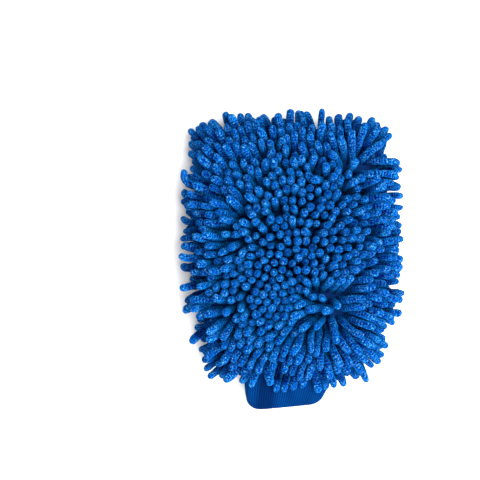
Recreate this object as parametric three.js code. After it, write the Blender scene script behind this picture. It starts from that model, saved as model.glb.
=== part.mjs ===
// Chenille wash mitt: two pile-covered knitted panels sewn into a bag, with a rib-knit cuff.
// Millimetres, +Z up. It lies flat on its back pile, fingertips towards +Y, cuff towards -Y,
// with the origin on the floor under the middle of its bounding box.
import * as THREE from 'three';

// Overall sizes, over the tips of the pile.
const overallWidth = 197;
const overallLength = 268;

// Layers, counted up from the floor.
const backPileLength = 20.6;
const panelThickness = 1.4;
const cavityHeight = 5.6;
const frontPileLength = 28.4;
const layerGap = 0.3;

// Pile: rows of fingers across each panel.
const rowsPerPanel = 24;
const fingerWidth = 7.4;
const fingerPitch = 8.2;
const notchDepth = 2.6;
const rowGapShare = 0.045;
const tiltAtEdge = THREE.MathUtils.degToRad(82);
const uprightShare = 0.42;
const rowEdgeInset = 1.5;

// Panel outline.
const fingertipCorner = 20;
const heelNarrowing = 13;
const heelHeight = 22;
const taperHeight = 62;

// Seams and cuff.
const seamWidth = 4;
const cuffWidth = 82;
const cuffEndWidth = 70;
const cuffLength = 40;
const cuffWall = 1.7;
const cuffSeamLength = 1.6;
const cuffSteps = 5;

// Heights and lengths that follow from those sizes.
const backPanelZ = backPileLength + layerGap;
const cavityZ = backPanelZ + panelThickness;
const frontPanelZ = cavityZ + cavityHeight;
const frontPileZ = frontPanelZ + panelThickness + layerGap;
const bagHeight = cavityHeight + 2 * panelThickness;
const bagMidZ = cavityZ + cavityHeight / 2;
const pileReach = Math.sin(tiltAtEdge) * frontPileLength;
const fingerRadius = fingerWidth / 2;
const rowEndHalfWidth = overallWidth / 2 - pileReach + fingerRadius * (1 - Math.cos(tiltAtEdge));
const panelHalfWidth = rowEndHalfWidth + rowEdgeInset;
const panelTop = overallLength / 2 - pileReach + rowEdgeInset;
const cuffEnd = -overallLength / 2;
const cuffTop = cuffEnd + cuffLength;
const panelBottom = cuffTop + cuffSeamLength + 2 * layerGap;
const mouthHalfWidth = cuffWidth / 2;

// The panel's outline from one corner of the mouth, round the fingertips, to the other.
function panelOutline(inset) {
  const side = panelHalfWidth - inset;
  const heel = side - heelNarrowing;
  const mouth = mouthHalfWidth - inset;
  const top = panelTop - inset;
  const radius = fingertipCorner - inset;
  const path = new THREE.Path();
  path.moveTo(-mouth, panelBottom);
  path.quadraticCurveTo(-heel, panelBottom, -heel, panelBottom + heelHeight);
  path.lineTo(-side, panelBottom + taperHeight);
  path.lineTo(-side, top - radius);
  path.absarc(-side + radius, top - radius, radius, Math.PI, Math.PI / 2, true);
  path.lineTo(side - radius, top);
  path.absarc(side - radius, top - radius, radius, Math.PI / 2, 0, true);
  path.lineTo(side, panelBottom + taperHeight);
  path.lineTo(heel, panelBottom + heelHeight);
  path.quadraticCurveTo(heel, panelBottom, mouth, panelBottom);
  return path.getPoints(7);
}

// Half the panel's width at a distance along the mitt.
function panelHalfWidthAt(y) {
  const points = panelOutline(0);
  let widest = mouthHalfWidth;
  for (let i = 1; i < points.length; i += 1) {
    const a = points[i - 1];
    const b = points[i];
    const crosses = (a.y - y) * (b.y - y) <= 0 && a.y !== b.y;
    if (crosses) {
      const x = THREE.MathUtils.lerp(a.x, b.x, (y - a.y) / (b.y - a.y));
      widest = Math.max(widest, x);
    }
  }
  return widest;
}

// How far a finger leans: none over the middle of the panel, most at its edge.
function leanAt(share) {
  const past = Math.max(0, Math.abs(share) - uprightShare) / (1 - uprightShare);
  return Math.sign(share) * tiltAtEdge * Math.pow(past, 1.6);
}

function extrude(points, depth, steps = 1) {
  return new THREE.ExtrudeGeometry(new THREE.Shape(points), { depth, steps, bevelEnabled: false });
}

function mapVertices(geometry, place) {
  const positions = geometry.attributes.position;
  const point = new THREE.Vector3();
  for (let i = 0; i < positions.count; i += 1) {
    point.fromBufferAttribute(positions, i);
    place(point);
    positions.setXYZ(i, point.x, point.y, point.z);
  }
  geometry.computeVertexNormals();
  return geometry;
}

// One row seen along the mitt: a straight root edge, then fingertips with notches between them.
// With a flat foot, the upright fingers are pressed into one flat strip.
function rowOutline(halfWidth, length, flatFoot) {
  const count = Math.round((2 * halfWidth - fingerWidth) / fingerPitch) + 1;
  const points = [new THREE.Vector2(halfWidth, 0), new THREE.Vector2(-halfWidth, 0)];
  let lastLean = null;
  let lastRoot = 0;
  for (let i = 0; i < count; i += 1) {
    const root = (halfWidth - fingerRadius) * ((2 * i) / (count - 1) - 1);
    const lean = leanAt(root / (halfWidth - fingerRadius));
    const pressed = flatFoot && lean === 0 && lastLean === 0;
    if (lastLean !== null && !pressed) {
      const midLean = (lean + lastLean) / 2;
      const notch = length - notchDepth;
      const midRoot = (root + lastRoot) / 2;
      points.push(new THREE.Vector2(midRoot + Math.sin(midLean) * notch, Math.cos(midLean) * notch));
    }
    for (const side of [-1, 1]) {
      const x = root + Math.sin(lean) * length + side * Math.cos(lean) * fingerRadius;
      const height = Math.cos(lean) * length - side * Math.sin(lean) * fingerRadius;
      points.push(new THREE.Vector2(x, THREE.MathUtils.clamp(height, 0, length)));
    }
    lastLean = lean;
    lastRoot = root;
  }
  return points;
}

// A row of pile. Its two faces lean with the line between it and the next row, so the rows
// fan out towards the fingertips and the cuff.
function pileRow(index, rootZ, length, up) {
  const first = panelBottom + rowEdgeInset;
  const last = panelTop - rowEdgeInset;
  const middle = (first + last) / 2;
  const boundary = (step) => {
    const y = THREE.MathUtils.lerp(first, last, step / rowsPerPanel);
    const lean = leanAt((y - middle) / (last - middle));
    return { y, along: Math.sin(lean), rise: Math.cos(lean) };
  };
  const near = boundary(index);
  const far = boundary(index + 1);
  const rowMiddle = (near.y + far.y) / 2;
  const halfWidth = panelHalfWidthAt(rowMiddle) - rowEdgeInset;
  const geometry = extrude(rowOutline(halfWidth, length, !up), 1);
  return mapVertices(geometry, (point) => {
    const height = point.y;
    const across = up ? 1 - point.z : point.z;
    const share = THREE.MathUtils.lerp(rowGapShare, 1 - rowGapShare, across);
    const along = THREE.MathUtils.lerp(near.along, far.along, share);
    const rise = THREE.MathUtils.lerp(near.rise, far.rise, share);
    point.y = THREE.MathUtils.lerp(near.y, far.y, share) + height * along;
    point.z = rootZ + (up ? 1 : -1) * height * rise;
  });
}

function panel() {
  return extrude(panelOutline(0), panelThickness);
}

// The two panels' edges, turned in and overlocked together: a U, open at the mouth.
function sideSeam() {
  const outer = panelOutline(0);
  const inner = panelOutline(seamWidth).reverse();
  return extrude([...outer, ...inner], cavityHeight - 2 * layerGap);
}

// A flat tube with round sides, from y = 0 towards -Y, narrowing to its far end.
function flatTube(width, endWidth, height, wall, length, steps) {
  const capsule = (inset) => {
    const radius = height / 2 - inset;
    const straight = width / 2 - height / 2;
    const path = new THREE.Shape();
    path.moveTo(-straight, -radius);
    path.lineTo(straight, -radius);
    path.absarc(straight, 0, radius, -Math.PI / 2, Math.PI / 2, false);
    path.lineTo(-straight, radius);
    path.absarc(-straight, 0, radius, Math.PI / 2, (3 * Math.PI) / 2, false);
    return path;
  };
  const shape = capsule(0);
  shape.holes.push(new THREE.Path(capsule(wall).getPoints(8)));
  const options = { depth: length, steps, curveSegments: 8, bevelEnabled: false };
  const geometry = new THREE.ExtrudeGeometry(shape, options);
  return mapVertices(geometry, (point) => {
    const narrowing = Math.pow(point.z / length, 2);
    const taper = THREE.MathUtils.lerp(1, endWidth / width, narrowing);
    point.set(point.x * taper, -point.z, point.y);
  });
}

const yarnBlue = 0x0a4fc4;
const knitBlue = 0x0b3b8f;
const threadBlue = 0x0c3f9e;

const mitt = new THREE.Group();
mitt.name = 'wash_mitt';

function add(name, geometry, colour, z = 0, y = 0) {
  const material = new THREE.MeshStandardMaterial({ color: colour, roughness: 0.95, metalness: 0 });
  const mesh = new THREE.Mesh(geometry, material);
  mesh.name = name;
  mesh.position.set(0, y, z);
  mitt.add(mesh);
}

add('back_backing', panel(), knitBlue, backPanelZ);
add('front_backing', panel(), knitBlue, frontPanelZ);
add('side_seam', sideSeam(), threadBlue, cavityZ + layerGap);

const cuffTube = flatTube(cuffWidth, cuffEndWidth, bagHeight, cuffWall, cuffLength, cuffSteps);
add('cuff', cuffTube, knitBlue, bagMidZ, cuffTop);

const cuffSeam = flatTube(cuffWidth, cuffWidth, bagHeight, cuffWall, cuffSeamLength, 1);
add('cuff_seam', cuffSeam, threadBlue, bagMidZ, cuffTop + layerGap + cuffSeamLength);

for (let i = 0; i < rowsPerPanel; i += 1) {
  const number = String(i + 1).padStart(2, '0');
  add(`back_row_${number}`, pileRow(i, backPileLength, backPileLength, false), yarnBlue);
  add(`front_row_${number}`, pileRow(i, frontPileZ, frontPileLength, true), yarnBlue);
}

export default mitt;
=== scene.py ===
import bpy
import math
import numpy as np
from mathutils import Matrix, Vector


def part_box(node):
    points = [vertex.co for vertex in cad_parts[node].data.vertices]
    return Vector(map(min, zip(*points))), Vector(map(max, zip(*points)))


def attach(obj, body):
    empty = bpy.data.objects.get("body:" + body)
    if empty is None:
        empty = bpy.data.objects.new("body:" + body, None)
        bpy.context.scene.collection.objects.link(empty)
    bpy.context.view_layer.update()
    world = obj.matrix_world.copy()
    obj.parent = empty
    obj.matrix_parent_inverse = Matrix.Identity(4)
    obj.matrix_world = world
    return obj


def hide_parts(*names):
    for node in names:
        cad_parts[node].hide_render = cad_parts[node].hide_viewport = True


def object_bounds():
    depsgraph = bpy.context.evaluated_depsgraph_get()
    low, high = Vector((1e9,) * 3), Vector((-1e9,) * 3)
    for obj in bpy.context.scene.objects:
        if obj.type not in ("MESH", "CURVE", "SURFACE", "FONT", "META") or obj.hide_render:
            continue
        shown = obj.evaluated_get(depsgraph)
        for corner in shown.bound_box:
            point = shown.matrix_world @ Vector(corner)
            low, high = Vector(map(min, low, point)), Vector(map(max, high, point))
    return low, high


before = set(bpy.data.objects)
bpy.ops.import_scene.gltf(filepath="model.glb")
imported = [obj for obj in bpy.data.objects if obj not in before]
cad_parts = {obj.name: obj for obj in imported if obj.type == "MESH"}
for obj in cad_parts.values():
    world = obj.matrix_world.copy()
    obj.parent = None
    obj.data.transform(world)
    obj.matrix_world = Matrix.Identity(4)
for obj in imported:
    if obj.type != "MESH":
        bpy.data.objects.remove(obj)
cadLow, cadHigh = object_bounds()
mm = 0.001
bpy.ops.object.select_all(action="DESELECT")
print("frame loaded:", len(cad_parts), "nodes")


# camera and light

shot = {
    "lookAt": (-0.047, 0.016, 0.030),
    "distance": 1.1,
    "elevation": 88,
    "widthSeen": 0.432,  # how much the view takes in across, at the mitt
    "sensor": 36,
}


def aim(name, data, place, back):
    # back is the way from what it looks at or lights
    thing = bpy.data.objects.new(name, data)
    bpy.context.collection.objects.link(thing)
    thing.location = place
    thing.rotation_mode = "QUATERNION"
    thing.rotation_quaternion = (-back).to_track_quat("-Z", "Y")
    return thing


def makeCamera():
    data = bpy.data.cameras.new("camera")
    rise = math.radians(shot["elevation"])
    back = Vector((0, -math.cos(rise), math.sin(rise)))
    camera = aim("camera", data, Vector(shot["lookAt"]) + back * shot["distance"], back)
    data.sensor_width = shot["sensor"]
    data.lens = shot["sensor"] * shot["distance"] / shot["widthSeen"]
    bpy.context.scene.camera = camera


studio = {
    "keyFrom": (0.55, 0.02, 1.60),
    "keySize": 1.45,
    "keyPower": 54,
    "fillFrom": (0.6, -1.2, 0.9),
    "fillSize": 1.2,
    "fillPower": 34,
    "skyColour": (1.0, 1.0, 1.0, 1),
    "skyStrength": 0.54,
    "floorSize": 6.0,
    "floorColour": (0.93, 0.93, 0.93, 1),
    "floorRoughness": 0.9,
}


def makeLamp(name, place, size, power):
    data = bpy.data.lights.new(name, "AREA")
    data.shape = "DISK"
    data.size = size
    data.energy = power
    aim(name, data, place, Vector(place))


def makeStudio():
    makeLamp("keyLight", studio["keyFrom"], studio["keySize"], studio["keyPower"])
    makeLamp("fillLight", studio["fillFrom"], studio["fillSize"], studio["fillPower"])
    world = bpy.data.worlds.new("sky")
    bpy.context.scene.world = world
    world.use_nodes = True
    sky = world.node_tree.nodes["Background"]
    sky.inputs["Color"].default_value = studio["skyColour"]
    sky.inputs["Strength"].default_value = studio["skyStrength"]
    bpy.ops.mesh.primitive_plane_add(size=studio["floorSize"], location=(0, 0, 0))
    floor = bpy.context.object
    floor.name = "floor"
    paper = bpy.data.materials.new("paper")
    paper.use_nodes = True
    shader = paper.node_tree.nodes["Principled BSDF"]
    shader.inputs["Base Color"].default_value = studio["floorColour"]
    shader.inputs["Roughness"].default_value = studio["floorRoughness"]
    floor.data.materials.append(paper)
    bpy.ops.object.select_all(action="DESELECT")
    bpy.context.scene.view_settings.view_transform = "Standard"


makeCamera()
makeStudio()
print("camera and studio made")


# shader helpers

def newMaterial(name):
    material = bpy.data.materials.new(name)
    material.use_nodes = True
    return material, material.node_tree


def put(tree, kind, values=(), **settings):
    node = tree.nodes.new(kind)
    for key, value in settings.items():
        setattr(node, key, value)
    for socket, value in dict(values).items():
        if isinstance(value, bpy.types.NodeSocket):
            tree.links.new(value, node.inputs[socket])
        else:
            node.inputs[socket].default_value = value
    return node


def maths(tree, operation, first, second=0.0, third=0.0):
    values = {0: first, 1: second, 2: third}
    return put(tree, "ShaderNodeMath", values, operation=operation).outputs[0]


def vectorMaths(tree, operation, *vectors):
    node = put(tree, "ShaderNodeVectorMath", dict(enumerate(vectors)), operation=operation)
    return node.outputs[0]


def mapped(tree, value, span, onto=(0.0, 1.0)):
    # the values of a span spread over another, and held at its ends
    values = {0: value, 1: span[0], 2: span[1], 3: onto[0], 4: onto[1]}
    return put(tree, "ShaderNodeMapRange", values).outputs[0]


def attribute(tree, name, output="Fac"):
    return put(tree, "ShaderNodeAttribute", attribute_name=name).outputs[output]


def split(tree, vector):
    return put(tree, "ShaderNodeSeparateXYZ", {0: vector}).outputs


def blendColour(tree, share, first, second, mode="MIX"):
    values = {0: share, 6: first, 7: second}
    return put(tree, "ShaderNodeMix", values, data_type="RGBA", blend_type=mode).outputs[2]


def finishMaterial(material, colour, height, look):
    tree = material.node_tree
    shader = tree.nodes["Principled BSDF"]
    bump = put(tree, "ShaderNodeBump",
               {"Strength": look["bump"], "Distance": look["bumpDepth"], "Height": height})
    tree.links.new(colour, shader.inputs["Base Color"])
    tree.links.new(bump.outputs[0], shader.inputs["Normal"])
    for socket, key in (("Roughness", "roughness"), ("Specular IOR Level", "specular"),
                        ("Sheen Weight", "sheen"), ("Sheen Roughness", "sheenRoughness"),
                        ("Sheen Tint", "sheenTint")):
        shader.inputs[socket].default_value = look[key]
    return material


fuzzShape = {
    "smoothness": 0.35,
    "fibres": 2.6,  # how many fibres and patches there are, for each grain
    "patches": 0.12,
    "fibreHeight": 0.60,
    "detail": 2.0,
}


def makeYarnFuzz():
    # soft grains of cut fibre on any yarn; "Grains" is how many there are to a metre
    shape = fuzzShape
    group = bpy.data.node_groups.new("yarnFuzz", "ShaderNodeTree")
    for name, way, kind in (("Place", "INPUT", "Vector"), ("Grains", "INPUT", "Float"),
                            ("Height", "OUTPUT", "Float"), ("Patches", "OUTPUT", "Float")):
        group.interface.new_socket(name, in_out=way, socket_type="NodeSocket" + kind)
    ends = group.nodes.new("NodeGroupInput").outputs
    out = group.nodes.new("NodeGroupOutput").inputs
    place = ends["Place"]
    grains = ends["Grains"]
    tuft = put(group, "ShaderNodeTexVoronoi", {"Vector": place, "Scale": grains, "Randomness": 1.0,
               "Smoothness": shape["smoothness"]}, feature="SMOOTH_F1")
    noises = []
    for share in (shape["fibres"], shape["patches"]):
        scale = maths(group, "MULTIPLY", grains, share)
        values = {"Vector": place, "Scale": scale, "Detail": shape["detail"]}
        noises.append(put(group, "ShaderNodeTexNoise", values).outputs[0])
    dome = maths(group, "SUBTRACT", 1.0, tuft.outputs["Distance"])
    fine = maths(group, "MULTIPLY", noises[0], shape["fibreHeight"])
    group.links.new(maths(group, "ADD", dome, fine), out["Height"])
    group.links.new(noises[1], out["Patches"])
    return group


yarnFuzz = makeYarnFuzz()


def addFuzz(tree, place, look):
    values = {"Place": place, "Grains": look["grains"]}
    return put(tree, "ShaderNodeGroup", values, node_tree=yarnFuzz).outputs


def addGrain(tree, place, knit, look):
    return maths(tree, "MULTIPLY_ADD", addFuzz(tree, place, look)["Height"], look["grainHeight"], knit)


fingerLength = 30 * mm  # of the finger pattern, before it is fitted to a line
chenilleLook = {
    # deep is painted shade for the yarn's low places, bright a painted highlight for its high places
    "deep": (0.0000, 0.0050, 0.0640, 1),
    "body": (0.0000, 0.0570, 0.3650, 1),
    "bright": (0.0220, 0.3900, 1.0000, 1),
    # the colour of painted glints on single grains
    "paintedGlint": (0.2000, 0.7400, 1.0000, 1),
    "grains": 680,
    "dotScale": 700,
    "tangles": 420,
    "tangleReach": 1.8 * mm,  # how far the fibres stray from even turns
    "turnsPerMetre": 440,  # twists of the yarn along a finger
    "ridge": 0.44,
    "ridgeMiddle": 0.6,
    "ridgeFade": 2 * mm,  # before the round tip
    "bump": 1.0,
    "bumpDepth": 1.8 * mm,
    "bodyAt": (0.38, 1.00),  # heights of the yarn at which it turns from the deep colour, painted shade in its low places, to body
    # heights at which the bright painted highlight comes in on the yarn's high places
    "brightAt": (0.86, 1.50),
    "toneSpread": 0.7,
    "toneLeast": 0.5,
    "dotFray": -0.30,
    "dotSize": 0.30,
    "glintCells": (0.58, 1.0),  # which cells get a painted glint, and which a spot of painted shade in the deep colour, and how much
    "glintShare": 0.45,
    "shadeSpotCells": (0.45, 0.10),
    "shadeSpotShare": 0.6,
    "shutIn": 0.08,  # openness at which the painted shade is deepest, at which it is gone, and at which the painted light is strongest
    "openOut": 0.42,
    "standsFree": 0.80,
    "shutShade": 0.06,
    "paintedFreeLight": 0.40,
    "patchSpread": 0.5,
    "patchLeast": 0.75,
    "shadePowers": (1.7, 1.3, 0.85),  # red and green sink faster, so the painted shade in the depths is navy
    "roughness": 0.8,
    "specular": 0.015,
    "sheen": 0.44,
    "sheenRoughness": 0.20,
    "sheenTint": (0.0, 0.39, 1.0, 1),
}


def makeChenille():
    look = chenilleLook
    material, tree = newMaterial("chenille")
    # "straight" is where a point of the bent finger lies on the straight one, plus a shift of its own
    straight = attribute(tree, "straight", "Vector")
    tangle = put(tree, "ShaderNodeTexNoise", {"Vector": straight, "Scale": look["tangles"], "Detail": 1.0})
    stray = vectorMaths(tree, "SUBTRACT", tangle.outputs["Color"], (0.5, 0.5, 0.5))
    place = vectorMaths(tree, "MULTIPLY_ADD", stray, (look["tangleReach"],) * 3, straight)
    fuzz = addFuzz(tree, place, look)
    grain = fuzz["Height"]
    turned = maths(tree, "MULTIPLY", split(tree, place)[2], look["turnsPerMetre"] * math.pi)
    ridge = maths(tree, "ABSOLUTE", maths(tree, "SINE", turned))
    ridge = maths(tree, "SUBTRACT", ridge, look["ridgeMiddle"])
    body = (fingerLength, fingerLength - look["ridgeFade"])
    onBody = mapped(tree, attribute(tree, "along"), body, (0.0, look["ridge"]))
    height = maths(tree, "MULTIPLY_ADD", ridge, onBody, grain)

    # the yarn's colour with painted shade in its low places and a painted highlight on its high places,
    # the highlight varied at random by each finger's tone
    colour = blendColour(tree, mapped(tree, height, look["bodyAt"]), look["deep"], look["body"])
    tone = maths(tree, "MULTIPLY_ADD", attribute(tree, "tone"), look["toneSpread"], look["toneLeast"])
    lit = maths(tree, "MULTIPLY", mapped(tree, height, look["brightAt"]), tone)
    colour = blendColour(tree, lit, colour, look["bright"])
    # dots on the grains: pale ones are painted glints, dark ones spots of painted shade
    cell = put(tree, "ShaderNodeTexVoronoi", {"Vector": place, "Scale": look["dotScale"], "Randomness": 1.0})
    ragged = maths(tree, "MULTIPLY_ADD", grain, look["dotFray"], cell.outputs["Distance"])
    dot = mapped(tree, ragged, (look["dotSize"], 0.0))
    kind = put(tree, "ShaderNodeSeparateColor", {0: cell.outputs["Color"]}).outputs[0]
    for cells, share, paint in ((look["glintCells"], look["glintShare"], look["paintedGlint"]),
                                (look["shadeSpotCells"], look["shadeSpotShare"], look["deep"])):
        chosen = mapped(tree, kind, cells, (0.0, share))
        colour = blendColour(tree, maths(tree, "MULTIPLY", dot, chosen), colour, paint)

    # painted shade where a finger is hemmed in by its neighbours, and painted light where it stands free;
    # the patches are random tone
    free = attribute(tree, "open")
    shade = mapped(tree, free, (look["shutIn"], look["openOut"]), (look["shutShade"], 1.0))
    lift = mapped(tree, free, (look["openOut"], look["standsFree"]), (0.0, look["paintedFreeLight"]))
    patchTone = maths(tree, "MULTIPLY_ADD", fuzz["Patches"], look["patchSpread"], look["patchLeast"])
    shade = maths(tree, "MULTIPLY", patchTone, maths(tree, "ADD", shade, lift))
    powers = [maths(tree, "POWER", shade, power) for power in look["shadePowers"]]
    shade = put(tree, "ShaderNodeCombineColor", dict(enumerate(powers))).outputs[0]
    colour = blendColour(tree, 1.0, colour, shade, "MULTIPLY")
    return finishMaterial(material, colour, height, look)


def loopRows(tree, slope, along, look):
    # knitted loops one after another, slanting with slope
    turns = maths(tree, "MULTIPLY", along, look["loopsPerMetre"] * 2 * math.pi)
    slant = maths(tree, "MULTIPLY_ADD", slope, look["slant"], turns)
    return maths(tree, "MULTIPLY_ADD", maths(tree, "SINE", slant), 0.5, 0.5)


clothLook = {
    # valley is painted shade between the loops and columns, loop the knit's own colour
    "valley": (0.0002, 0.006, 0.050, 1),
    "loop": (0.0006, 0.034, 0.170, 1),
    "loopsPerMetre": 620,
    "slant": 1.4,
    "betweenColumns": 0.3,  # how high the loops stay between two columns
    "grains": 1500,
    "grainHeight": 0.25,
    "loopAt": (0.15, 1.0),
    "bump": 0.8,
    "bumpDepth": 0.5 * mm,
    "roughness": 0.9,
    "specular": 0.1,
    "sheen": 0.25,
    "sheenRoughness": 0.5,
    "sheenTint": (0.05, 0.4, 1.0, 1),
}


def makeGroundCloth():
    # plain machine knit: columns of small V loops
    look = clothLook
    material, tree = newMaterial("groundCloth")
    place = put(tree, "ShaderNodeTexCoord").outputs["Object"]
    parts = split(tree, place)
    column = maths(tree, "MULTIPLY", parts[0], look["loopsPerMetre"] * math.pi)
    across = maths(tree, "ABSOLUTE", maths(tree, "SINE", column))
    loops = loopRows(tree, across, parts[1], look)
    least = look["betweenColumns"]
    knit = maths(tree, "MULTIPLY", loops, maths(tree, "MULTIPLY_ADD", across, 1 - least, least))
    height = addGrain(tree, place, knit, look)
    # painted shade in the low places between the loops
    colour = blendColour(tree, mapped(tree, height, look["loopAt"]), look["valley"], look["loop"])
    return finishMaterial(material, colour, height, look)


ribLook = {
    # valley is painted shade in the grooves between ribs and loops, crest the knit's own colour
    "valley": (0.0000, 0.010, 0.060, 1),
    "crest": (0.0000, 0.040, 0.178, 1),
    "crestPower": 1.5,
    "loopsPerMetre": 560,
    "slant": 2.4,
    "loopHeight": 0.25,
    "loopAt": (0.05, 0.70),
    "loopTone": (0.5, 1.0),
    "grains": 1300,
    "grainHeight": 0.30,
    # broad bands of painted shade across the cuff, as of soft folds
    "foldShadeScale": 62.0,
    "foldShadeStretch": (1.0, 0.22, 0.3),
    "foldShadeShift": (0.016, 0.0, 0.0),
    "foldShadeAt": (0.39, 0.64),
    "foldShadeTone": (0.08, 1.20),
    "bump": 0.8,
    "bumpDepth": 0.5 * mm,
    "roughness": 0.85,
    "specular": 0.02,
    "sheen": 0.15,
    "sheenRoughness": 0.5,
    "sheenTint": (0.0, 0.34, 0.9, 1),
}


def makeRibKnit():
    # the ribs themselves are in the mesh, and "crest" says how high a point stands on its rib
    look = ribLook
    material, tree = newMaterial("ribKnit")
    place = put(tree, "ShaderNodeTexCoord").outputs["Object"]
    crest = attribute(tree, "crest")
    loops = loopRows(tree, crest, attribute(tree, "down"), look)
    height = addGrain(tree, place, maths(tree, "MULTIPLY", loops, look["loopHeight"]), look)
    # the grooves between ribs and loops get painted shade
    share = mapped(tree, height, look["loopAt"], look["loopTone"])
    share = maths(tree, "MULTIPLY", share, maths(tree, "POWER", crest, look["crestPower"]))
    # painted shade of soft folds, in broad bands across the cuff
    drawn = vectorMaths(tree, "MULTIPLY_ADD", place, look["foldShadeStretch"], look["foldShadeShift"])
    foldShade = put(tree, "ShaderNodeTexNoise", {"Vector": drawn, "Scale": look["foldShadeScale"], "Detail": 1.0})
    foldShade = mapped(tree, foldShade.outputs[0], look["foldShadeAt"], look["foldShadeTone"])
    colour = blendColour(tree, maths(tree, "MULTIPLY", share, foldShade), look["valley"], look["crest"])
    return finishMaterial(material, colour, height, look)


threadLook = {
    # low is painted shade in the grooves of the twist, high the thread's own colour
    "low": (0.0004, 0.020, 0.120, 1),
    "high": (0.0030, 0.120, 0.480, 1),
    "twistScale": 1900 / 6,
    "twistDistortion": 3.0,
    "bump": 0.7,
    "bumpDepth": 0.2 * mm,
    "roughness": 0.55,
    "specular": 0.3,
    "sheen": 0.2,
    "sheenRoughness": 0.5,
    "sheenTint": (0.1, 0.45, 1.0, 1),
}


def makeSeamThread():
    look = threadLook
    material, tree = newMaterial("seamThread")
    values = {"Vector": put(tree, "ShaderNodeTexCoord").outputs["Object"], "Scale": look["twistScale"],
              "Distortion": look["twistDistortion"], "Detail": 1.0}
    twist = put(tree, "ShaderNodeTexWave", values, wave_type="BANDS", bands_direction="DIAGONAL")
    colour = blendColour(tree, twist.outputs["Fac"], look["low"], look["high"])
    return finishMaterial(material, colour, twist.outputs["Fac"], look)


chenille = makeChenille()
groundCloth = makeGroundCloth()
ribKnit = makeRibKnit()
seamThread = makeSeamThread()
print("materials made")


# the bag's outline, which the panels, seams and pile all follow

bag = {
    "fingertipCorner": 20 * mm,
    "heelNarrowing": 13 * mm,
    "heelHeight": 22 * mm,
    "taperHeight": 62 * mm,
    "curveSteps": 8,
    "edgeRounding": 16 * mm,  # how far in from the seam the cloth has risen to its full height
    "gridStep": 2 * mm,
    "gridMargin": 0.03,
    "edgeSteps": (4 * mm, 12 * mm),  # how far to each side the nearest edge is looked for
}
frontLow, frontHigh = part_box("front_backing")
backLow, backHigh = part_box("back_backing")
cuffLow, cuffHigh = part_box("cuff")
seamLevel = (frontLow.z + backHigh.z) / 2


def unit(vectors, least=0.0):
    return vectors / (np.sqrt((vectors ** 2).sum(-1, keepdims=True)) + least)


def panelOutline():
    # from the mouth's right corner up the right side, over the fingertips and down to its left corner
    side = frontHigh.x
    heel = side - bag["heelNarrowing"]
    mouth = cuffHigh.x
    low = frontLow.y
    top = frontHigh.y
    corner = bag["fingertipCorner"]
    steps = bag["curveSteps"]
    right = []
    for step in range(steps + 1):
        t = step / steps
        x = (1 - t) ** 2 * mouth + 2 * t * (1 - t) * heel + t * t * heel
        right.append((x, low + t * t * bag["heelHeight"]))
    right.append((side, low + bag["taperHeight"]))
    for turn in np.linspace(0, math.pi / 2, steps + 1):
        right.append((side - corner + corner * math.cos(turn), top - corner + corner * math.sin(turn)))
    left = [(-x, y) for x, y in reversed(right)]
    return np.array(right + left)


def bagOutline():
    # the panel with the cuff, for the height of the cloth
    cuffEnd = [(-cuffHigh.x, cuffLow.y), (cuffHigh.x, cuffLow.y)]
    return np.vstack([panelOutline(), cuffEnd])


def insetFrom(outline, points):
    # distance in from the outline, below zero outside it
    start = outline
    end = np.roll(outline, -1, axis=0)
    side = end - start
    length = (side ** 2).sum(1)
    away = points[:, None, :] - start[None]
    along = np.clip((away * side[None]).sum(2) / length, 0, 1)
    near = away - along[..., None] * side[None]
    distance = np.sqrt((near ** 2).sum(2)).min(1)
    crosses = (start[:, 1] > points[:, None, 1]) != (end[:, 1] > points[:, None, 1])
    with np.errstate(divide="ignore", invalid="ignore"):
        where = start[:, 0] + (points[:, None, 1] - start[:, 1]) * side[:, 0] / side[:, 1]
    inside = (crosses & (points[:, None, 0] < where)).sum(1) % 2 == 1
    return np.where(inside, distance, -distance)


def makeInsetGrid(outline):
    margin = bag["gridMargin"]
    xs = np.arange(cadLow.x - margin, cadHigh.x + margin, bag["gridStep"])
    ys = np.arange(cadLow.y - margin, cadHigh.y + margin, bag["gridStep"])
    gridX, gridY = np.meshgrid(xs, ys, indexing="ij")
    points = np.stack([gridX.ravel(), gridY.ravel()], axis=1)
    return xs[0], ys[0], insetFrom(outline, points).reshape(gridX.shape)


bagGrid = makeInsetGrid(bagOutline())
panelGrid = makeInsetGrid(panelOutline())


def insetAt(insetGrid, xy):
    startX, startY, grid = insetGrid
    short = 1.001  # so that a point beyond the grid takes its last cell
    u = np.clip((xy[..., 0] - startX) / bag["gridStep"], 0, grid.shape[0] - short)
    v = np.clip((xy[..., 1] - startY) / bag["gridStep"], 0, grid.shape[1] - short)
    i = u.astype(int)
    j = v.astype(int)
    fu = u - i
    fv = v - j
    low = grid[i, j] * (1 - fu) + grid[i + 1, j] * fu
    high = grid[i, j + 1] * (1 - fu) + grid[i + 1, j + 1] * fu
    return low * (1 - fv) + high * fv


def outwardAt(xy):
    # level direction towards the nearest edge of the panel
    slope = 0
    for step in bag["edgeSteps"]:
        across = insetAt(panelGrid, xy - (step, 0)) - insetAt(panelGrid, xy + (step, 0))
        along = insetAt(panelGrid, xy - (0, step)) - insetAt(panelGrid, xy + (0, step))
        slope = slope + np.stack([across, along], axis=-1) / step
    return unit(slope, 1e-9)


def clothHeight(xy, up):
    # on the seam's level at the edge, rising in a quarter circle to the panel's full height
    share = np.clip(insetAt(bagGrid, xy) / bag["edgeRounding"], 0, 1)
    full = frontHigh.z if up > 0 else backLow.z
    return seamLevel + (full - seamLevel) * np.sqrt(1 - (1 - share) ** 2)


# the pile: rows of chenille fingers, laid out, brushed, and settled against each other

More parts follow.
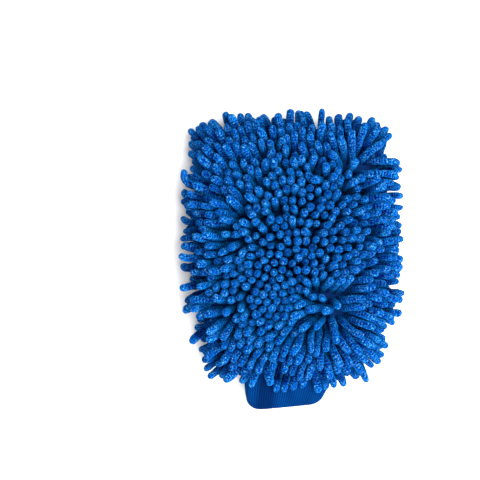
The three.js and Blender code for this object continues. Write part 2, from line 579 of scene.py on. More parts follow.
pile = {
    "seed": 11,
    "rows": 24,
    "joints": 10,  # points along a finger
    "fingerPitch": 6.15 * mm,
    "rowShift": 0.25,  # of a pitch, to one side and the other in turn
    "radius": 3.72 * mm,
    "edgeInset": 1.5 * mm,
    "endInset": 0.8,  # of a radius, more at the ends of a row
    "frontLength": (30 * mm, 37 * mm),
    "backLength": (27 * mm, 32 * mm),
    "shortening": 0.12,  # of a finger that stands upright
    "rootJitter": 0.9 * mm,
    "rootStray": 1.6 * mm,
    "leanJitter": 0.24,
    "spread": 0.98,  # how flat the pile lies at the seam
    "spreadPower": 0.15,
    "rootLean": 0.68,  # a finger's lean at its root, at its root near the seam, and at its tip
    "edgeRootLean": 0.92,
    "tipLean": 1.04,
    "edgeReach": 12 * mm,  # how far in from the seam the pile lies flatter
    "frontDroop": math.radians(34),
    "sideDroop": math.radians(26),  # more at the two long sides
    "backDroop": math.radians(-22),
    "droopPower": 4,  # how much less the upright fingers droop
    "maxLean": 1.2,
    "curl": 0.20,
    "curlFrom": 0.3,  # of the way along, where a finger still points as it was brushed
    "kink": 0.9,
    "kinkShare": 0.07,  # of the fingers
    "driftWaves": 5,
    "driftTurns": (60, 130),  # radians to a metre
    "partingWidth": 4 * mm,
    "openReach": 14 * mm,  # how near a neighbour has to be to darken a finger with painted shade
}
settling = {
    "turns": 420,
    "brushedBy": 0.55,  # share of the turns in which the fingers are brushed down
    "floorUpBy": 0.6,  # and in which the floor comes up to its place
    "floorStart": -9 * mm,
    "contact": 0.985,  # of two radii
    "rootGirth": 0.72,
    "fullGirthAt": 3,  # joints from the root
    "pull": 0.050,
    "pullFade": 0.5,
    "rootPull": 1.5,  # how much more the root is pulled
    "rootHold": 0.3,
    "sag": 0.10 * mm,
    "straighten": 0.22,
    "push": 0.42,
    "pushes": 2,  # in each turn
    "pairsEvery": 10,
    "printEvery": 50,
    "slack": 1.6 * mm,
    "onCloth": 0.9,  # radii above the cloth
    "overhang": 2.5 * mm,  # how far past the mitt's width a finger may settle
}
# how the pile was stroked by hand, in metres from the middle of the mitt: partings are places that
# the fingers fall away from, strokes push them one way, and upright patches stand them up
frontCombing = {
    "partings": [(0.038, -0.050, 0.040, 0.88), (0.060, 0.086, 0.034, 1.15), (-0.055, -0.047, 0.020, 0.40),
                 (-0.026, -0.030, 0.030, -0.14), (0.018, -0.066, 0.020, 0.40),
                 (0.063, 0.022, 0.017, 0.60)],
    "strokes": [(0.002, 0.016, 0.040, -0.04, 0.10), (-0.010, 0.068, 0.036, -0.08, 0.08),
                (0.065, 0.045, 0.022, 0.20, -0.18), (-0.030, 0.100, 0.030, -0.05, 0.15),
                (0.025, -0.047, 0.015, -0.42, 0.02), (0.051, -0.047, 0.015, 0.42, 0.02)],
    "upright": [(-0.028, -0.032, 0.032, 0.90), (0.050, 0.002, 0.014, 0.70), (-0.010, 0.068, 0.030, 0.50),
                (-0.006, 0.014, 0.022, 0.55)],
    "drift": 0.08,
}
backCombing = {
    "partings": [(-0.020, 0.010, 0.050, 0.45), (0.040, -0.050, 0.034, 0.45)],
    "strokes": [(0.030, 0.060, 0.050, 0.25, 0.25), (-0.040, -0.050, 0.050, -0.30, -0.20)],
    "upright": [],
    "drift": 0.30,
}
chance = np.random.default_rng(pile["seed"])


def halfWidthAt(y):
    outline = panelOutline()
    right = outline[: len(outline) // 2]
    return float(np.interp(y, right[:, 1], right[:, 0]))


def rootPlaces():
    # one list of root points for each row, from the cuff to the fingertips
    low = frontLow.y + pile["edgeInset"]
    high = frontHigh.y - pile["edgeInset"]
    pitch = (high - low) / pile["rows"]
    rows = []
    for row in range(pile["rows"]):
        y = low + (row + 0.5) * pitch
        half = halfWidthAt(y) - pile["edgeInset"] - pile["radius"] * pile["endInset"]
        count = round(2 * half / pile["fingerPitch"])
        shift = (pile["rowShift"] if row % 2 else -pile["rowShift"]) * pile["fingerPitch"]
        x = np.linspace(-half, half, count) + shift
        spread = chance.normal(0, pile["rootJitter"], (count, 2))
        spread = np.clip(spread, -pile["rootStray"], pile["rootStray"])
        rows.append(np.stack([x, np.full(count, y)], axis=1) + spread)
    return rows


def smoothDrift(xy):
    # a slow random drift of the lean over the panel
    drift = np.zeros_like(xy)
    for _ in range(pile["driftWaves"]):
        way = chance.uniform(0, 2 * math.pi)
        turns = chance.uniform(*pile["driftTurns"])
        phase = chance.uniform(0, 2 * math.pi, 2)
        reach = xy[:, 0] * math.cos(way) + xy[:, 1] * math.sin(way)
        drift += np.sin(reach[:, None] * turns + phase[None])
    return drift / math.sqrt(pile["driftWaves"])


def nearness(xy, x, y, reach):
    return np.exp(-((xy - (x, y)) ** 2).sum(1, keepdims=True) / reach ** 2)


def brushedLean(xy, combing):
    # the level part of each finger's direction: 0 upright, 1 lying flat. Left alone, the pile
    # spreads evenly from the middle of the panel to its edges
    middle = (frontLow.y + frontHigh.y) / 2
    halfLength = (frontHigh.y - frontLow.y) / 2
    halfWidths = np.array([halfWidthAt(y) for y in xy[:, 1]])
    spread = np.stack([xy[:, 0] / halfWidths, (xy[:, 1] - middle) / halfLength], axis=1)
    lean = spread * np.abs(spread) ** pile["spreadPower"] * pile["spread"]
    lean += smoothDrift(xy) * combing["drift"]
    for x, y, reach, towardsX, towardsY in combing["strokes"]:
        lean += nearness(xy, x, y, reach) * (towardsX, towardsY)
    for x, y, reach, amount in combing["upright"]:
        lean *= 1 - amount * nearness(xy, x, y, reach)
    for x, y, reach, push in combing["partings"]:
        away = xy - (x, y)
        distance = np.sqrt((away ** 2).sum(1, keepdims=True))
        lean += push * away / (distance + pile["partingWidth"]) * np.exp(-(distance / reach) ** 2)
    return lean


def layFingers(up, combing, lengths):
    rows = rootPlaces()
    roots = np.vstack(rows)
    count = len(roots)
    lean = brushedLean(roots, combing) + chance.normal(0, pile["leanJitter"], (count, 2))
    amount = np.sqrt((lean ** 2).sum(1))
    kinks = chance.normal(0, pile["kink"], (count, 2))
    kinks = kinks * (chance.uniform(0, 1, (count, 1)) < pile["kinkShare"])
    nearEdge = np.exp(-(insetAt(panelGrid, roots) / pile["edgeReach"]) ** 2)
    sideways = np.abs(outwardAt(roots)[:, 0])
    short = pile["shortening"]
    return {
        "up": np.full(count, float(up)),
        "row": np.repeat(np.arange(len(rows)), [len(row) for row in rows]),
        "root": np.column_stack([roots, clothHeight(roots, up)]),
        "tilt": np.arcsin(np.minimum(amount, 1)) + np.clip(amount - 1, 0, pile["maxLean"] - 1),
        "rootShare": pile["rootLean"] + (pile["edgeRootLean"] - pile["rootLean"]) * nearEdge,
        "way": lean / np.maximum(amount, 1e-6)[:, None],
        "droop": sideways * nearEdge * pile["sideDroop"],
        "length": chance.uniform(*lengths, count) * (1 - short + short * np.minimum(amount, 1)),
        "curl": chance.normal(0, pile["curl"], (count, 2)) + kinks,
    }


def shapedPoints(fingers, share):
    # each finger as it was brushed: it leans more from root to tip, and droops
    count = len(fingers["length"])
    joints = pile["joints"]
    step = (fingers["length"] - pile["radius"]) / (joints - 1)
    points = np.zeros((count, joints, 3))
    points[:, 0] = fingers["root"]
    droop = np.where(fingers["up"] > 0, pile["frontDroop"] + fingers["droop"], pile["backDroop"])
    lean = fingers["tilt"] * share
    for joint in range(1, joints):
        along = (joint - 0.5) / (joints - 1)
        tilt = lean * (fingers["rootShare"] * (1 - along) + pile["tipLean"] * along)
        tilt = tilt + droop * np.sin(np.minimum(lean, math.pi / 2)) ** pile["droopPower"] * along
        way = unit(fingers["way"] + fingers["curl"] * (along - pile["curlFrom"]))
        flat = way * np.sin(tilt)[:, None]
        rise = np.cos(tilt) * fingers["up"]
        points[:, joint] = points[:, joint - 1] + np.column_stack([flat, rise]) * step[:, None]
    return points


def closePairs(points, owner, reach):
    # joints of different fingers that are nearer than reach
    cell = np.floor(points / reach).astype(np.int64)
    cell -= cell.min(axis=0) - 1
    size = cell.max(axis=0) + 2
    key = (cell[:, 0] * size[1] + cell[:, 1]) * size[2] + cell[:, 2]
    order = np.argsort(key, kind="stable")
    ordered = key[order]
    first = []
    second = []
    for i, j, k in np.ndindex(3, 3, 3):
        offset = ((i - 1) * size[1] + j - 1) * size[2] + k - 1
        if offset < 0:
            continue
        low = np.searchsorted(ordered, key + offset, "left")
        found = np.searchsorted(ordered, key + offset, "right") - low
        a = np.repeat(np.arange(len(points)), found)
        start = np.repeat(low - np.concatenate([[0], np.cumsum(found)[:-1]]), found)
        b = order[start + np.arange(found.sum())]
        near = ((points[a] - points[b]) ** 2).sum(1) < reach ** 2
        keep = near & (owner[a] != owner[b])
        if offset == 0:
            keep &= a < b
        first.append(a[keep])
        second.append(b[keep])
    return np.concatenate(first), np.concatenate(second)


def settlePile(fingers):
    # the fingers are let down together: each keeps its length and its bend, rests on the cloth,
    # the floor and its neighbours, and sags a little
    count = len(fingers["length"])
    joints = pile["joints"]
    radius = pile["radius"]
    points = shapedPoints(fingers, 0.0)
    owner = np.repeat(np.arange(count), joints)
    step = ((fingers["length"] - radius) / (joints - 1))[:, None]
    up = fingers["up"][:, None]
    contact = 2 * radius * settling["contact"]
    girth = np.interp(np.arange(joints), (0, settling["fullGirthAt"]), (settling["rootGirth"], 1.0))
    girth = np.tile(girth, count)
    weight = np.linspace(0, 1, joints)[None, 1:, None]
    widest = cadHigh.x + settling["overhang"] - radius
    turns = settling["turns"]
    for turn in range(turns):
        share = min(1.0, turn / (settling["brushedBy"] * turns))
        target = shapedPoints(fingers, share)
        if turn % settling["pairsEvery"] == 0:
            a, b = closePairs(points.reshape(-1, 3), owner, contact + settling["slack"])
            fixed = (a % joints == 0) & (b % joints == 0)
            a = a[~fixed]
            b = b[~fixed]
            apart = contact * (girth[a] + girth[b]) / 2
        pull = settling["pull"] * (1 - settling["pullFade"] * turn / turns)
        points[:, 1:] += (target[:, 1:] - points[:, 1:]) * pull * (settling["rootPull"] - weight)
        points[:, 1:, 2] -= settling["sag"] * weight[..., 0] * share
        points[:, 1] += (target[:, 1] - points[:, 1]) * settling["rootHold"]
        floor = settling["floorStart"] * max(0.0, 1 - turn / (settling["floorUpBy"] * turns))
        for _ in range(settling["pushes"]):
            ahead = 2 * points[:, 1:-1] - points[:, :-2]
            points[:, 2:] += (ahead - points[:, 2:]) * settling["straighten"]
            joined = points.reshape(-1, 3)
            gap = joined[a] - joined[b]
            distance = np.sqrt((gap ** 2).sum(1)) + 1e-9
            overlap = np.clip(apart - distance, 0, None)
            move = gap * (overlap / distance * settling["push"])[:, None]
            for axis in range(3):
                joined[:, axis] += np.bincount(a, move[:, axis], len(joined))
                joined[:, axis] -= np.bincount(b, move[:, axis], len(joined))
            points = joined.reshape(count, joints, 3)
            points[:, 0] = fingers["root"]
            inside = insetAt(bagGrid, points[..., :2]) > 0
            for way in (1, -1):
                cloth = clothHeight(points[..., :2], way) + way * radius * settling["onCloth"]
                low = (points[..., 2] - cloth) * way < 0
                low &= inside & (up * way > 0)
                low[:, 0] = False
                points[..., 2] = np.where(low, cloth, points[..., 2])
            points[:, 1:, 2] = np.maximum(points[:, 1:, 2], floor + radius)
            points[:, 1:, 0] = np.clip(points[:, 1:, 0], -widest, widest)
            for joint in range(1, joints):
                side = points[:, joint] - points[:, joint - 1]
                reach = np.sqrt((side ** 2).sum(1, keepdims=True)) + 1e-9
                points[:, joint] = points[:, joint - 1] + side * (step / reach)
        if turn % settling["printEvery"] == 0:
            print("settling", turn, "pairs", len(a), "deepest overlap mm", round(overlap.max() / mm, 2))
    return points


frontFingers = layFingers(1, frontCombing, pile["frontLength"])
backFingers = layFingers(-1, backCombing, pile["backLength"])
fingers = {key: np.concatenate([frontFingers[key], backFingers[key]]) for key in frontFingers}
fingerPoints = settlePile(fingers)
print("pile settled:", len(fingerPoints), "fingers")


def openness(points, reach):
    # near 1 where a finger stands free, near 0 where neighbours are all round it; the chenille is given
    # painted shade where it is low, and painted light where it is high
    joined = points.reshape(-1, 3)
    count = len(joined)
    a, b = closePairs(joined, np.arange(count), reach)
    away = joined[a] - joined[b]
    distance = np.sqrt((away ** 2).sum(1)) + 1e-6
    share = 1 - distance / reach
    push = away / distance[:, None] * share[:, None]
    total = np.bincount(a, share, count) + np.bincount(b, share, count) + 1e-6
    pushed = [np.bincount(a, push[:, k], count) - np.bincount(b, push[:, k], count) for k in range(3)]
    free = np.sqrt(sum(way ** 2 for way in pushed)) / total
    return free.reshape(points.shape[:2])


fingerOpen = openness(fingerPoints, pile["openReach"])


# shared by all pieces

def meshPiece(name, corners, faces, material):
    mesh = bpy.data.meshes.new(name)
    mesh.from_pydata(np.asarray(corners).tolist(), [], faces)
    mesh.materials.append(material)
    mesh.polygons.foreach_set("use_smooth", [True] * len(mesh.polygons))
    piece = bpy.data.objects.new(name, mesh)
    bpy.context.collection.objects.link(piece)
    return piece


def addAttribute(piece, name, values, kind="FLOAT"):
    layer = piece.data.attributes.new(name, kind, "POINT")
    layer.data.foreach_set("vector" if kind == "FLOAT_VECTOR" else "value", np.ravel(values))


def onlySelect(piece):
    bpy.ops.object.select_all(action="DESELECT")
    piece.select_set(True)
    bpy.context.view_layer.objects.active = piece


def faceOutwards(piece, merge=0.0):
    onlySelect(piece)
    bpy.ops.object.mode_set(mode="EDIT")
    bpy.ops.mesh.select_all(action="SELECT")
    if merge > 0:
        bpy.ops.mesh.remove_doubles(threshold=merge)
    bpy.ops.mesh.normals_make_consistent(inside=False)
    bpy.ops.object.mode_set(mode="OBJECT")


def takePattern(piece):
    # the corners and faces of a finished pattern, whose own object isn't kept
    faceOutwards(piece)
    corners = np.array([vertex.co[:] for vertex in piece.data.vertices])
    faces = [list(face.vertices) for face in piece.data.polygons]
    bpy.data.objects.remove(piece, do_unlink=True)
    print("pattern:", len(faces), "faces")
    return corners, faces


def giveThickness(piece, thickness, offset):
    modifier = piece.modifiers.new("thickness", "SOLIDIFY")
    modifier.thickness = thickness
    modifier.offset = offset
    onlySelect(piece)
    bpy.ops.object.modifier_apply(modifier="thickness")


def addSmoothing(piece):
    smooth = piece.modifiers.new("smooth", "SUBSURF")
    smooth.levels = 1
    smooth.render_levels = 1


def standFor(piece, node):
    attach(piece, "root")
    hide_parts(node)
    return piece


def ringFaces(rings, around):
    # faces between rings of points that follow each other
    faces = []
    for ring in range(rings - 1):
        for k in range(around):
            near = ring * around
            far = near + around
            faces.append((near + k, near + (k + 1) % around, far + (k + 1) % around, far + k))
    return faces


def copyFaces(faces, step, copies):
    return [[v + k * step for v in face] for k in range(copies) for face in faces]


def evenPoints(line, count, closed=False):
    # points at even distances along a line
    line = np.asarray(line)
    if closed:
        line = np.vstack([line, line[:1]])
    reach = np.concatenate([[0], np.cumsum(np.sqrt((np.diff(line, axis=0) ** 2).sum(1)))])
    places = np.linspace(0, reach[-1], count, endpoint=not closed)
    return np.stack([np.interp(places, reach, line[:, k]) for k in range(line.shape[1])], axis=1)


# one chenille finger, modelled once and copied along every settled line

fingerShape = {
    "sides": 6,
    "length": fingerLength,
    "bodyRings": 10,
    "roundOut": 1.11,  # the smoothed surface lies inside its control ring
    "rootRadius": 0.80,
    "rootEnd": 0.6 * mm,
    "tipRings": ((0.50, 0.92), (0.92, 0.58)),  # how far past the body's end, and how wide, in radii
    "tipEnd": 1.14,
    "lump": 0.105,
    "thickness": (0.88, 1.12),
    "firstSide": (0.3, 1.0, 0.2),  # where the turn round every finger is measured from
    "aboveFloor": 0.05 * mm,
}


def modelFinger():
    shape = fingerShape
    radius = pile["radius"] * shape["roundOut"]
    bpy.ops.mesh.primitive_circle_add(vertices=shape["sides"], radius=radius * shape["rootRadius"],
                                      location=(0, 0, 0))
    finger = bpy.context.object
    finger.name = "fingerPattern"
    bpy.ops.object.mode_set(mode="EDIT")
    bpy.ops.mesh.select_all(action="SELECT")
    step = shape["length"] / (shape["bodyRings"] - 1)
    rings = [(step, 1 / shape["rootRadius"])] + [(step, 1.0)] * (shape["bodyRings"] - 2)
    lastOut = 0.0
    lastWide = 1.0
    for out, wide in shape["tipRings"]:
        rings.append(((out - lastOut) * radius, wide / lastWide))
        lastOut = out
        lastWide = wide
    for rise, widen in rings:
        bpy.ops.mesh.extrude_region_move(TRANSFORM_OT_translate={"value": (0, 0, rise)})
        bpy.ops.transform.resize(value=(widen, widen, 1))
    closing = (shape["tipEnd"] - lastOut) * radius
    bpy.ops.mesh.extrude_region_move(TRANSFORM_OT_translate={"value": (0, 0, closing)})
    bpy.ops.mesh.merge(type="CENTER")
    bpy.ops.mesh.select_all(action="DESELECT")
    bpy.ops.object.mode_set(mode="OBJECT")
    for vertex in finger.data.vertices:
        vertex.select = vertex.co.z < step / 2
    bpy.ops.object.mode_set(mode="EDIT")
    bpy.ops.mesh.extrude_region_move(TRANSFORM_OT_translate={"value": (0, 0, -shape["rootEnd"])})
    bpy.ops.mesh.merge(type="CENTER")
    bpy.ops.object.mode_set(mode="OBJECT")
    return takePattern(finger)


fingerCorners, fingerFaces = modelFinger()


def jointsAt(lengths, heights):
    # the joint that each height lies past, and how far past it
    along = np.clip(heights / lengths[:, None], 0, 1) * (pile["joints"] - 1)
    joint = np.minimum(along.astype(int), pile["joints"] - 2)
    return joint, along - joint


def lineFrames(points, lengths, heights):
    # centre, and two directions across, at each height along each settled line
    index, past = jointsAt(lengths, heights)
    t = past[..., None]
    rows = np.arange(len(points))[:, None]
    p0 = points[rows, np.maximum(index - 1, 0)]
    p1 = points[rows, index]
    p2 = points[rows, index + 1]
    p3 = points[rows, np.minimum(index + 2, pile["joints"] - 1)]
    bend = 2 * p0 - 5 * p1 + 4 * p2 - p3
    twist = 3 * p1 - p0 - 3 * p2 + p3
    centre = 0.5 * (2 * p1 + (p2 - p0) * t + bend * t ** 2 + twist * t ** 3)
    slope = unit(0.5 * ((p2 - p0) + 2 * bend * t + 3 * twist * t ** 2), 1e-12)
    beyond = heights - np.clip(heights, 0, lengths[:, None])
    centre = centre + slope * beyond[..., None]
    across = np.zeros_like(centre)
    side = np.cross(slope[:, 0], fingerShape["firstSide"])
    for ring in range(heights.shape[1]):
        side = unit(side - slope[:, ring] * (side * slope[:, ring]).sum(1, keepdims=True), 1e-12)
        across[:, ring] = side
    return centre, across, np.cross(slope, across)


def makeRow(name, node, picked):
    points = fingerPoints[picked]
    lengths = fingers["length"][picked] - pile["radius"]
    count = len(points)
    levels, ring = np.unique(np.round(fingerCorners[:, 2], 6), return_inverse=True)
    body = np.clip(levels, 0, fingerShape["length"])
    stretch = lengths[:, None] / fingerShape["length"]
    heights = body[None] * stretch + (levels - body)[None]
    centre, across, over = lineFrames(points, lengths, heights)
    thick = chance.uniform(*fingerShape["thickness"], (count, 1))
    lump = 1 + chance.normal(0, fingerShape["lump"], (count, len(fingerCorners)))
    scale = (thick * lump)[..., None]
    corners = centre[:, ring] + across[:, ring] * fingerCorners[None, :, 0:1] * scale
    corners = corners + over[:, ring] * fingerCorners[None, :, 1:2] * scale
    corners[..., 2] = np.maximum(corners[..., 2], fingerShape["aboveFloor"])
    faces = copyFaces(fingerFaces, len(fingerCorners), count)
    row = meshPiece(name, corners.reshape(-1, 3), faces, chenille)
    joint, past = jointsAt(lengths, heights)
    free = fingerOpen[picked]
    fingerRows = np.arange(count)[:, None]
    openHere = free[fingerRows, joint] * (1 - past) + free[fingerRows, joint + 1] * past
    # openness, from which the chenille's painted shade and painted light are made
    addAttribute(row, "open", openHere[:, ring])
    addAttribute(row, "along", np.tile(fingerCorners[:, 2], count))
    straight = fingerCorners[None] + chance.uniform(0, 1, (count, 1, 3))
    addAttribute(row, "straight", straight, "FLOAT_VECTOR")
    addAttribute(row, "tone", np.repeat(chance.uniform(0, 1, count), len(fingerCorners)))
    addSmoothing(row)
    return standFor(row, node)


pileRows = {1: [], -1: []}
for sideName, up in (("front", 1), ("back", -1)):
    for rowNumber in range(pile["rows"]):
        picked = np.flatnonzero((fingers["up"] == up) & (fingers["row"] == rowNumber))
        label = f"{sideName}_row_{rowNumber + 1:02d}"
        pileRows[up].append(makeRow(label.replace("_row_", "Row"), label, picked))
print("pile rows made")


# the two knitted panels that the pile is sewn to

panelShape = {
    "around": 112,
    "steps": (0.0, 0.03, 0.07, 0.12, 0.19, 0.28, 0.40, 0.54, 0.70, 0.86, 1.0),
    "spineLow": -0.050,
    "spineHigh": 0.062,
    "thickness": 1.2 * mm,
    "puckerDepth": 0.35 * mm,
    "puckersAcross": 820,  # radians to a metre
    "puckersAlong": 768,
    "puckerRise": 8,  # how fast the puckers start, in from the seam
    "merge": 0.05 * mm,
}


def makePanel(name, node, up):
    shape = panelShape
    outline = evenPoints(panelOutline(), shape["around"], closed=True)
    spineY = np.clip(outline[:, 1], shape["spineLow"], shape["spineHigh"])
    spine = np.column_stack([np.zeros(len(outline)), spineY])
    rings = []
    for share in shape["steps"]:
        flat = outline * (1 - share) + spine * share
        pucker = np.sin(flat[:, 0] * shape["puckersAcross"]) * np.sin(flat[:, 1] * shape["puckersAlong"])
        pucker = pucker * shape["puckerDepth"] * min(1, share * shape["puckerRise"])
        rings.append(np.column_stack([flat, clothHeight(flat, up) + up * (pucker - shape["thickness"])]))
    piece = meshPiece(name, np.vstack(rings), ringFaces(len(rings), shape["around"]), groundCloth)
    faceOutwards(piece, merge=shape["merge"])
    facing = sum(face.normal.z * face.area for face in piece.data.polygons)
    if facing * up < 0:
        piece.data.flip_normals()
    giveThickness(piece, shape["thickness"], 1.0)
    addSmoothing(piece)
    standFor(piece, node)


makePanel("frontPanel", "front_backing", 1)
makePanel("backPanel", "back_backing", -1)
print("panels made")


# the rib-knit cuff: one tube, folded in at the hem, so the wall is two layers

cuffShape = {
    "ribPitch": 2.25 * mm,
    "ribHeight": 0.42 * mm,
    "ribPoints": 5,
    "ribRoundness": 0.7,
    "ribMiddle": 0.6,
    "crestRoundness": 0.8,
    "endNarrowing": 6 * mm,  # on each side
    "hemCorner": 14 * mm,
    "hemCornerRise": 0.8,
    "hemTilt": 0.09,
    "droop": 4.5 * mm,
    "droopPower": 1.6,
    "ply": 0.75 * mm,
    "plyGap": 0.9 * mm,
    "rows": 20,
    "hemRows": 5,
    "bulge": 1.2 * mm,
    "sway": 6 * mm,  # the hem hangs a little to one side
    "swayPower": 0.8,
    "ripples": ((95, 30, 0.8 * mm), (41, -60, 0.7 * mm)),  # turns across and along, and height
}


def cuffSection(x, halfWidth, halfHeight):
    # a flattened ring: straight over the hand, round at its two sides; x runs once around, from 0 to
    # 1. Gives the place, and the way out of the ring there
    straight = halfWidth - halfHeight
    bend = math.pi * halfHeight
    place = (x % 1.0) * (4 * straight + 2 * bend)
    if place < 2 * straight:
        return straight - place, halfHeight, 0.0, 1.0
    place -= 2 * straight
    if place < bend:
        angle = math.pi / 2 + place / halfHeight
        centre = -straight
    elif place - bend < 2 * straight:
        return -straight + place - bend, -halfHeight, 0.0, -1.0
    else:
        angle = -math.pi / 2 + (place - bend - 2 * straight) / halfHeight
        centre = straight
    outX = math.cos(angle)
    outZ = math.sin(angle)
    return centre + halfHeight * outX, halfHeight * outZ, outX, outZ


def cuffFold(length):
    # down the outside, round the hem, and back up inside; how far down, and how far in
    shape = cuffShape
    fold = shape["plyGap"] / 2
    wall = [step / shape["rows"] * (length - fold) for step in range(shape["rows"])]
    path = [(down, 0.0) for down in wall]
    for step in range(shape["hemRows"] + 1):
        angle = math.pi * step / shape["hemRows"]
        path.append((length - fold + fold * math.sin(angle), fold * (1 - math.cos(angle))))
    return path + [(down, 2 * fold) for down in reversed(wall)]


def makeCuff():
    shape = cuffShape
    halfWidth = cuffHigh.x
    halfHeight = (cuffHigh.z - cuffLow.z) / 2
    length = cuffHigh.y - cuffLow.y
    girth = 4 * (halfWidth - halfHeight) + 2 * math.pi * halfHeight
    around = 2 * round(girth / shape["ribPitch"] / 2) * shape["ribPoints"]
    path = cuffFold(length)
    corners = []
    crests = []
    for down, inward in path:
        share = down / length
        narrow = halfWidth - shape["endNarrowing"] * share ** 2
        tall = halfHeight + shape["bulge"] * share ** 2
        outside = 1 if inward < shape["plyGap"] / 2 else -1
        for k in range(around):
            rib = abs(math.sin(math.pi * k / shape["ribPoints"]))
            x, z, outX, outZ = cuffSection(k / around, narrow, tall)
            lift = shape["ribHeight"] * (rib ** shape["ribRoundness"] - shape["ribMiddle"])
            offset = outside * lift - inward - shape["ply"] / 2
            x += outX * offset
            z += outZ * offset
            past = max(0.0, abs(x) - (narrow - shape["hemCorner"])) / shape["hemCorner"]
            rise = shape["hemCorner"] * (1 - math.sqrt(max(0.0, 1 - min(past, 1.0) ** 2)))
            hem = cuffLow.y + rise * shape["hemCornerRise"] + shape["hemTilt"] * x
            y = cuffHigh.y + (hem - cuffHigh.y) * share
            ripple = sum(math.sin(x * a + y * b) * high * share for a, b, high in shape["ripples"])
            x -= shape["sway"] * share ** shape["swayPower"]
            z += seamLevel - shape["droop"] * share ** shape["droopPower"] + ripple
            corners.append((x, y, z))
            crests.append(rib ** shape["crestRoundness"])
    faces = [(a, d, c, b) for a, b, c, d in ringFaces(len(path), around)]
    piece = meshPiece("cuffRib", corners, faces, ribKnit)
    addAttribute(piece, "crest", crests)
    downs = [down for down, inward in path]
    hemAt = len(path) // 2 + 1
    downs[hemAt:] = [2 * length - down for down in downs[hemAt:]]
    addAttribute(piece, "down", np.repeat(downs, around))
    giveThickness(piece, shape["ply"], 0.0)
    standFor(piece, "cuff")


makeCuff()
print("cuff made")


# seams: a rolled edge with overlock stitches, one stitch modelled once and copied along it

stitchShape = {
    "thread": 0.45 * mm,
    "reach": 2.4 * mm,
    "height": 2.0 * mm,
    "pitch": 3.0 * mm,
    "slant": 0.7,  # of a pitch
    "wrap": 1.25,  # half turns round the edge
    "sides": 5,
    "bends": 8,
    "jitter": 0.05,
}


def modelStitch():
    # one loop of thread over the edge: an arch that leans along the seam
    shape = stitchShape
    bpy.ops.mesh.primitive_circle_add(vertices=shape["sides"], radius=shape["thread"], fill_type="NGON",
                                      location=(0, 0, 0), rotation=(math.radians(90), 0, 0))
    stitch = bpy.context.object
    stitch.name = "stitchPattern"
    bpy.ops.object.transform_apply(location=True, rotation=True, scale=True)
    bpy.ops.object.mode_set(mode="EDIT")
    bpy.ops.mesh.select_all(action="SELECT")
    for _ in range(shape["bends"]):
        bpy.ops.mesh.extrude_region_move(TRANSFORM_OT_translate={"value": (0, shape["thread"], 0)})
    bpy.ops.object.mode_set(mode="OBJECT")
    corners, faces = takePattern(stitch)
    # bent from a straight length into the arch: y was the way along it
    share = corners[:, 1] / corners[:, 1].max()
    angle = math.pi * (share - 0.5) * shape["wrap"]
    out = (shape["reach"] + corners[:, 0]) * np.cos(angle)
    rise = (shape["height"] + corners[:, 0]) * np.sin(angle)
    along = corners[:, 2] + (share - 0.5) * shape["pitch"] * shape["slant"]
    return np.column_stack([out, along, rise]), faces


stitchCorners, stitchFaces = modelStitch()


def seamWays(line, outwards):
    # the ways ahead, out and up at each point of a seam
    ahead = unit(np.gradient(line, axis=0))
    out = unit(outwards)
    return ahead, out, np.cross(ahead, out)


def sewAlong(line, outwards, closed):
    # corners and faces of the stitches along a line; outwards is each point's level way out
    reach = np.sqrt((np.diff(line, axis=0) ** 2).sum(1)).sum()
    count = int(reach / stitchShape["pitch"])
    places = evenPoints(np.hstack([line, outwards]), count, closed)
    centres = places[:, :3]
    ahead, out, rise = seamWays(centres, places[:, 3:])
    local = stitchCorners[None] * (1 + chance.normal(0, stitchShape["jitter"], (count, 1, 1)))
    corners = (centres[:, None] + out[:, None] * local[..., 0:1] + ahead[:, None] * local[..., 1:2]
               + rise[:, None] * local[..., 2:3])
    return corners.reshape(-1, 3), copyFaces(stitchFaces, len(stitchCorners), count)


edgeRoll = {
    "radius": 1.5 * mm,
    "flatness": 0.8,
    "jitter": 0.05,
    "inset": 1.6 * mm,
    "sides": 8,
    "points": 220,
    "cuffPoints": 120,
    "cuffInset": 0.8 * mm,
}


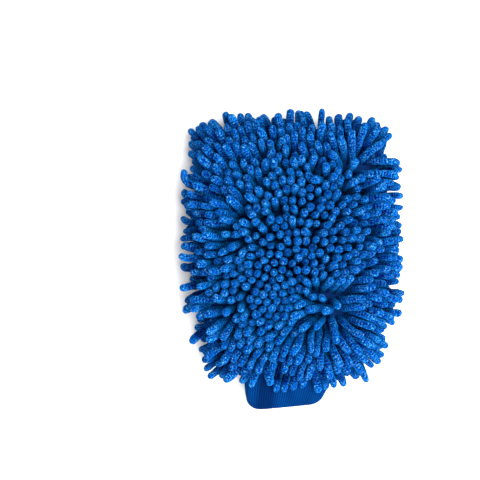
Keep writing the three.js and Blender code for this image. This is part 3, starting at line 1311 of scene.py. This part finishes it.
def rollAlong(line, outwards, closed):
    # the turned-in edge of both panels, as a slightly lumpy roll
    count = len(line)
    sides = edgeRoll["sides"]
    out, rise = seamWays(line, outwards)[1:]
    turn = (np.arange(sides) / sides * 2 * math.pi)[None, :, None]
    size = edgeRoll["radius"] * (1 + chance.normal(0, edgeRoll["jitter"], (count, 1, 1)))
    ring = out[:, None] * np.cos(turn) + (rise * edgeRoll["flatness"])[:, None] * np.sin(turn)
    corners = (line[:, None] + ring * size).reshape(-1, 3)
    faces = ringFaces(count, sides)
    last = (count - 1) * sides
    if closed:
        faces += [(last + k, last + (k + 1) % sides, (k + 1) % sides, k) for k in range(sides)]
    else:
        faces += [list(range(sides))[::-1], list(range(last, last + sides))]
    return corners, faces


def makeSeam(name, node, line, outwards, closed):
    rollCorners, rollFaces = rollAlong(line, outwards, closed)
    sewnCorners, sewnFaces = sewAlong(line, outwards, closed)
    faces = rollFaces + [[v + len(rollCorners) for v in face] for face in sewnFaces]
    piece = meshPiece(name, np.vstack([rollCorners, sewnCorners]), faces, seamThread)
    faceOutwards(piece)
    standFor(piece, node)


def makeSideSeam():
    line = evenPoints(panelOutline(), edgeRoll["points"])
    outwards = outwardAt(line)
    line = line - outwards * edgeRoll["inset"]
    level = np.full(len(line), seamLevel)
    flatOut = np.column_stack([outwards, np.zeros(len(line))])
    makeSeam("sideSeam", "side_seam", np.column_stack([line, level]), flatOut, False)


def makeCuffSeam():
    low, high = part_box("cuff_seam")
    halfWidth = high.x - edgeRoll["cuffInset"]
    halfHeight = (high.z - low.z) / 2 - edgeRoll["cuffInset"]
    count = edgeRoll["cuffPoints"]
    ring = [cuffSection(k / count, halfWidth, halfHeight) for k in range(count)]
    line = np.array([(x, (low.y + high.y) / 2, seamLevel + z) for x, z, outX, outZ in ring])
    outwards = np.array([(outX, 0.0, outZ) for x, z, outX, outZ in ring])
    makeSeam("cuffSeam", "cuff_seam", line, outwards, True)


makeSideSeam()
makeCuffSeam()
print("seams made")


print("cad box", [round(v, 4) for v in (*cadLow, *cadHigh)])
